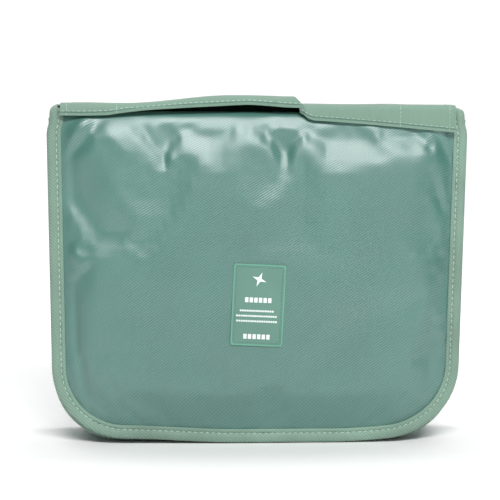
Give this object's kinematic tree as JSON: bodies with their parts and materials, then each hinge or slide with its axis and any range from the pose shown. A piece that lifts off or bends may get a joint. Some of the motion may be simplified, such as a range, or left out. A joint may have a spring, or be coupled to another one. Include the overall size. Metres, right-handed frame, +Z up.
{
  "type": "hanging toiletry bag",
  "caption": "Soft fold-out toiletry bag with a padded cover, a bound edge, a top carry strap, zipped pockets and a pull-out hook to hang it open.",
  "frame": {"origin": "middle of the footprint of the closed bag, at the level of its bottom", "axes": "+X across the bag to the right as seen from its front, -Y out of the front cover, +Z up"},
  "size_m": [0.24, 0.06, 0.2003],
  "materials": {
    "satin": "satin-faced polyester twill with a soft sheen",
    "binding_tape": "matt folded bias tape, fine diagonal twill",
    "strap_cloth": "matt woven band with a topstitch near its lower edge",
    "lining_cloth": "plain-weave polyester lining",
    "foam": "white wadding",
    "netting": "knitted mesh",
    "elastic": "ribbed woven elastic",
    "zip_cloth": "herringbone zip tape",
    "zip_teeth": "nylon coil",
    "zip_metal": "brushed nickel plate",
    "hook_plastic": "moulded acetal, slightly grained",
    "label": "soft moulded patch with a raised border and plain pale marks",
    "closure": "hook-and-loop tape",
    "thread": "sewing thread"
  },
  "bodies": {
    "bin": {"back_outer_panel": "satin", "gusset_bottom": "satin", "gusset_left": "satin", "gusset_right": "satin", "front_wall": "satin", "back_binding": "binding_tape", "gusset_rim_left": "binding_tape", "gusset_rim_right": "binding_tape", "front_binding": "binding_tape", "front_rim": "binding_tape", "back_lining": "lining_cloth", "back_pocket_panel": "lining_cloth", "back_foam": "foam", "front_mesh_pocket": "netting", "front_pocket_hem": "elastic", "elastic_loop_band": "elastic", "back_zip_tape_upper": "zip_cloth", "back_zip_tape_lower": "zip_cloth", "back_zip_chain": "zip_teeth", "back_zip_stop_left": "zip_metal", "back_zip_stop_right": "zip_metal", "loop_tape_left": "closure", "loop_tape_right": "closure"},
    "spine": {"spine_outer": "satin", "spine_foam": "foam", "spine_lining": "lining_cloth", "spine_binding_left": "binding_tape", "spine_binding_right": "binding_tape", "handle_end_left": "strap_cloth", "handle_end_right": "strap_cloth", "handle_tack_left": "thread", "handle_tack_right": "thread"},
    "handle": {"handle_strap": "strap_cloth"},
    "cover": {"cover_outer_panel": "satin", "cover_foam": "foam", "cover_lining": "lining_cloth", "cover_binding": "binding_tape", "label_patch": "label", "cover_mesh_pocket": "netting", "cover_zip_tape_upper": "zip_cloth", "cover_zip_tape_lower": "zip_cloth", "cover_zip_chain": "zip_teeth", "cover_zip_stop_left": "zip_metal", "cover_zip_stop_right": "zip_metal", "hook_tape_left": "closure", "hook_tape_right": "closure", "hook_keeper": "strap_cloth"},
    "hook": {"hanger_hook": "hook_plastic", "hook_strap": "strap_cloth", "hook_stop_bar": "hook_plastic"},
    "cover_slider": {"cover_zip_slider": "zip_metal"},
    "cover_pull": {"cover_zip_pull": "zip_metal"},
    "back_slider": {"back_zip_slider": "zip_metal"},
    "back_pull": {"back_zip_pull": "zip_metal"}
  },
  "joints": [
    {"name": "spine_fold", "type": "hinge", "parent": "bin", "child": "spine", "pos_m": [0, 0.03, 0.1935], "axis": [-1, 0, 0], "range_deg": [0, 90]},
    {"name": "cover_fold", "type": "hinge", "parent": "spine", "child": "cover", "pos_m": [0, -0.0225, 0.1935], "axis": [-1, 0, 0], "range_deg": [0, 90]},
    {"name": "handle_lift", "type": "slide", "parent": "spine", "child": "handle", "axis": [0, 0, 1], "range_m": [0, 0.012]},
    {"name": "hook_slide", "type": "slide", "parent": "cover", "child": "hook", "axis": [0, 0, -1], "range_m": [0, 0.05]},
    {"name": "cover_zip_slide", "type": "slide", "parent": "cover", "child": "cover_slider", "axis": [-1, 0, 0], "range_m": [0, 0.187]},
    {"name": "cover_pull_swing", "type": "hinge", "parent": "cover_slider", "child": "cover_pull", "pos_m": [0.0935, -0.0153, 0.099], "axis": [0, 1, 0], "range_deg": [-60, 60]},
    {"name": "back_zip_slide", "type": "slide", "parent": "bin", "child": "back_slider", "axis": [-1, 0, 0], "range_m": [0, 0.187]},
    {"name": "back_pull_swing", "type": "hinge", "parent": "back_slider", "child": "back_pull", "pos_m": [0.0935, 0.0185, 0.166], "axis": [-1, 0, 0], "range_deg": [0, 90]}
  ]
}
